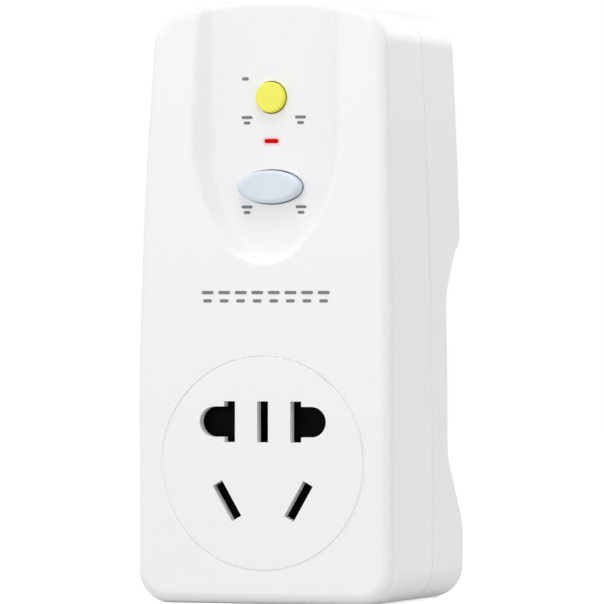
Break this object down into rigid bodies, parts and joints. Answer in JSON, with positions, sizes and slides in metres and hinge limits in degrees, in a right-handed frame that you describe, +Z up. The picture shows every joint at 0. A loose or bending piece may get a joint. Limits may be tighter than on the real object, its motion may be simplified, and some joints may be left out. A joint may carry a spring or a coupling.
{
  "type": "plug-in residual current socket adaptor",
  "caption": "Tall white plug-in residual current adaptor with a universal outlet, a yellow test button, an indicator light and an oval reset button.",
  "frame": {"origin": "centre of the flat base, under the middle of the housing's depth", "axes": "+Z up the housing, -Y towards the user (the outlet and the buttons), +Y towards the wall (the pins), +X to the right seen from the front"},
  "size_m": [0.049, 0.063, 0.1094],
  "materials": {
    "housing_plastic": "satin-gloss white moulded plastic",
    "pin_brass": "drawn flat brass, lightly brushed",
    "contact_brass": "stamped brass strip",
    "block_plastic": "black moulded plastic",
    "shutter_plastic": "black moulded plastic",
    "steel": "zinc plated steel",
    "test_yellow": "yellow moulded plastic",
    "reset_grey": "pale blue-grey moulded plastic",
    "indicator_red": "clear red, lit from behind",
    "board_laminate": "green coated laminate",
    "frame_plastic": "natural moulded plastic",
    "slider_plastic": "grey moulded plastic",
    "winding_copper": "enamelled copper wire",
    "core_coating": "blue coated ring core",
    "live_insulation": "brown wire insulation",
    "neutral_insulation": "blue wire insulation",
    "capacitor_case": "ochre potted case",
    "varistor_coating": "blue epoxy coating",
    "resistor_coating": "beige lacquer",
    "chip_plastic": "black moulded package"
  },
  "bodies": {
    "housing": {"front_cover": "housing_plastic", "rear_cover": "housing_plastic", "live_pin": "pin_brass", "neutral_pin": "pin_brass", "earth_pin": "pin_brass", "pin_carrier": "block_plastic", "cover_screws": "steel", "socket_block": "block_plastic", "block_cover": "block_plastic", "two_pole_springs": "steel", "three_pole_spring": "steel", "live_contact": "contact_brass", "neutral_contact": "contact_brass", "earth_contact": "contact_brass", "earth_strap": "contact_brass", "reset_spring": "steel", "indicator_lens": "indicator_red", "indicator_lamp": "indicator_red", "lamp_leads": "steel", "circuit_board": "board_laminate", "mechanism_frame": "frame_plastic", "catch_spring": "steel", "opening_springs": "steel", "live_line_contact": "contact_brass", "neutral_line_contact": "contact_brass", "live_load_contact": "contact_brass", "neutral_load_contact": "contact_brass", "trip_bobbin": "frame_plastic", "trip_winding": "winding_copper", "trip_yoke": "steel", "test_leaf": "contact_brass", "test_terminal": "contact_brass", "current_transformer": "core_coating", "live_lead": "live_insulation", "neutral_lead": "neutral_insulation", "film_capacitor": "capacitor_case", "varistor": "varistor_coating", "test_resistor": "resistor_coating", "control_chip": "chip_plastic"},
    "test_key": {"test_button": "test_yellow"},
    "reset_key": {"reset_button": "reset_grey"},
    "upper_shutter": {"two_pole_shutter": "shutter_plastic"},
    "lower_shutter": {"three_pole_shutter": "shutter_plastic"},
    "trip_bar": {"trip_plunger": "steel", "trip_catch": "steel"},
    "slider": {"contact_slider": "slider_plastic", "live_bridge": "contact_brass", "neutral_bridge": "contact_brass"}
  },
  "joints": [
    {"name": "test_press", "type": "slide", "parent": "housing", "child": "test_key", "axis": [0, 1, 0], "range_m": [0, 0.001], "stiffness_N_per_m": 1500, "springref_m": -0.0005, "deforming": ["test_leaf"]},
    {"name": "reset_press", "type": "slide", "parent": "housing", "child": "reset_key", "axis": [0, 1, 0], "range_m": [0, 0.002], "stiffness_N_per_m": 1200, "springref_m": -0.001, "deforming": ["reset_spring"]},
    {"name": "two_pole_shutter_slide", "type": "slide", "parent": "housing", "child": "upper_shutter", "axis": [0, 0, 1], "range_m": [0, 0.0084], "stiffness_N_per_m": 150, "springref_m": -0.002, "deforming": ["two_pole_springs"]},
    {"name": "three_pole_shutter_slide", "type": "slide", "parent": "housing", "child": "lower_shutter", "axis": [0, 0, -1], "range_m": [0, 0.0084], "stiffness_N_per_m": 150, "springref_m": -0.002, "deforming": ["three_pole_spring"]},
    {"name": "trip_drop", "type": "slide", "parent": "housing", "child": "trip_bar", "axis": [0, 0, -1], "range_m": [0, 0.0016], "stiffness_N_per_m": 400, "springref_m": -0.001, "deforming": ["catch_spring"]},
    {"name": "contact_opening", "type": "slide", "parent": "housing", "child": "slider", "axis": [0, 1, 0], "range_m": [0, 0.0016], "deforming": ["opening_springs"]}
  ],
  "couplings": [
    {"joint": "contact_opening", "follows": "trip_drop", "ratio": 1}
  ]
}
